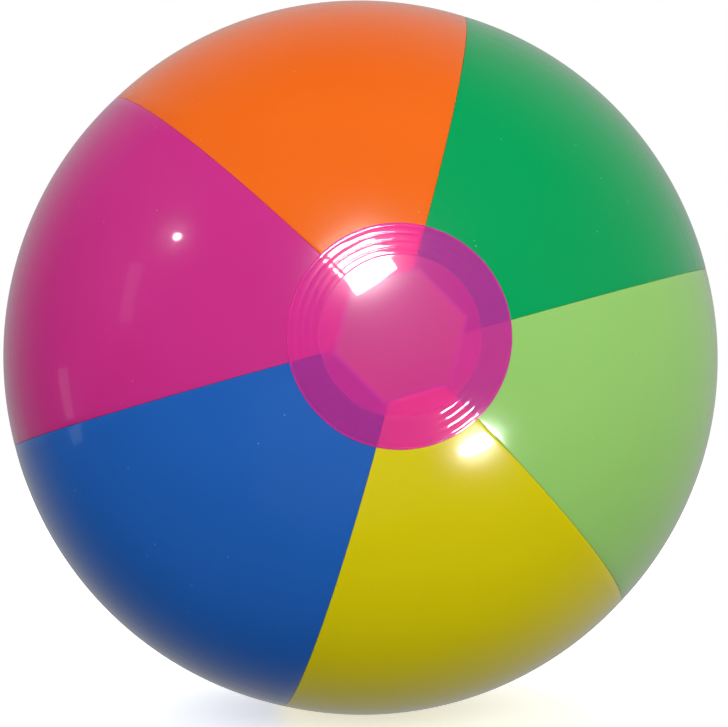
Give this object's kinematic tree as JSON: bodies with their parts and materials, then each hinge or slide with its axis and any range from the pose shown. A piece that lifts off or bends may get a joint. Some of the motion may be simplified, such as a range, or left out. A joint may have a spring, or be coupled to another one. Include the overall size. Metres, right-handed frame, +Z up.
{
  "type": "inflatable beach ball",
  "caption": "Blown-up beach ball of welded coloured gores under translucent end caps, with a push-in valve, tethered stopper and check flap.",
  "frame": {"origin": "centre of the inflated ball", "axes": "the gores run from pole to pole along Y: the plain cap faces -Y and the cap with the valve faces +Y; +Z is up as the ball lies on a floor, with the valve level"},
  "size_m": [0.3546, 0.3557, 0.3548],
  "materials": {
    "vinyl_orange": "gloss",
    "vinyl_magenta": "gloss",
    "vinyl_blue": "gloss",
    "vinyl_yellow": "gloss",
    "vinyl_lime": "gloss",
    "vinyl_green": "gloss",
    "cap_pink": "gloss",
    "valve_vinyl": "satin"
  },
  "bodies": {
    "ball": {"panel_orange": "vinyl_orange", "panel_magenta": "vinyl_magenta", "panel_blue": "vinyl_blue", "panel_yellow": "vinyl_yellow", "panel_lime": "vinyl_lime", "panel_green": "vinyl_green", "front_cap": "cap_pink", "rear_cap": "cap_pink", "valve_flange": "valve_vinyl", "valve_web": "valve_vinyl"},
    "stem": {"valve_stem": "valve_vinyl", "plug_strap": "valve_vinyl"},
    "plug": {"valve_plug": "valve_vinyl"},
    "flap": {"check_flap": "valve_vinyl"}
  },
  "joints": [
    {"name": "stem_slide", "type": "slide", "parent": "ball", "child": "stem", "axis": [0, 1, 0], "range_m": [0, 0.018], "deforming": ["valve_web"]},
    {"name": "plug_swing", "type": "hinge", "parent": "stem", "child": "plug", "pos_m": [0, 0.17625, -0.008], "axis": [-1, 0, 0], "range_deg": [0, 125], "deforming": ["plug_strap"]},
    {"name": "flap_swing", "type": "hinge", "parent": "stem", "child": "flap", "pos_m": [0, 0.16065, 0.0044], "axis": [-1, 0, 0], "range_deg": [0, 60], "stiffness_Nm_per_rad": 0.00002}
  ]
}
